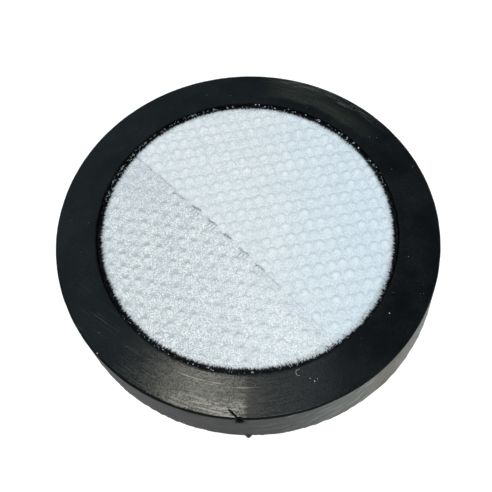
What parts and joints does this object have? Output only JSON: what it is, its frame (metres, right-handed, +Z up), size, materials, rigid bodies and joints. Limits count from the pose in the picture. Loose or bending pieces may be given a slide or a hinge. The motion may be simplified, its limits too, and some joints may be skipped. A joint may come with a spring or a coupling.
{
  "type": "vacuum filter",
  "caption": "Round flat vacuum filter: a black moulded rubber ring seals round a white embossed felt pad, with an embossed cover cloth laid over part of it.",
  "frame": {"origin": "centre of the ring's foot, on the surface that the filter rests on", "axes": "+Z up along the ring's axis, out of the sealing face; -Y towards the viewer of the picture; +X to the viewer's right"},
  "size_m": [0.1024, 0.1024, 0.015],
  "materials": {
    "rubber": "satin black moulded rubber with light scuffs",
    "pad_felt": "white nonwoven felt with pressed domes",
    "cover_cloth": "white nonwoven cloth with pressed domes"
  },
  "bodies": {
    "root": {"rubber_frame": "rubber", "filter_pad": "pad_felt", "cover_cloth": "cover_cloth"}
  },
  "joints": []
}
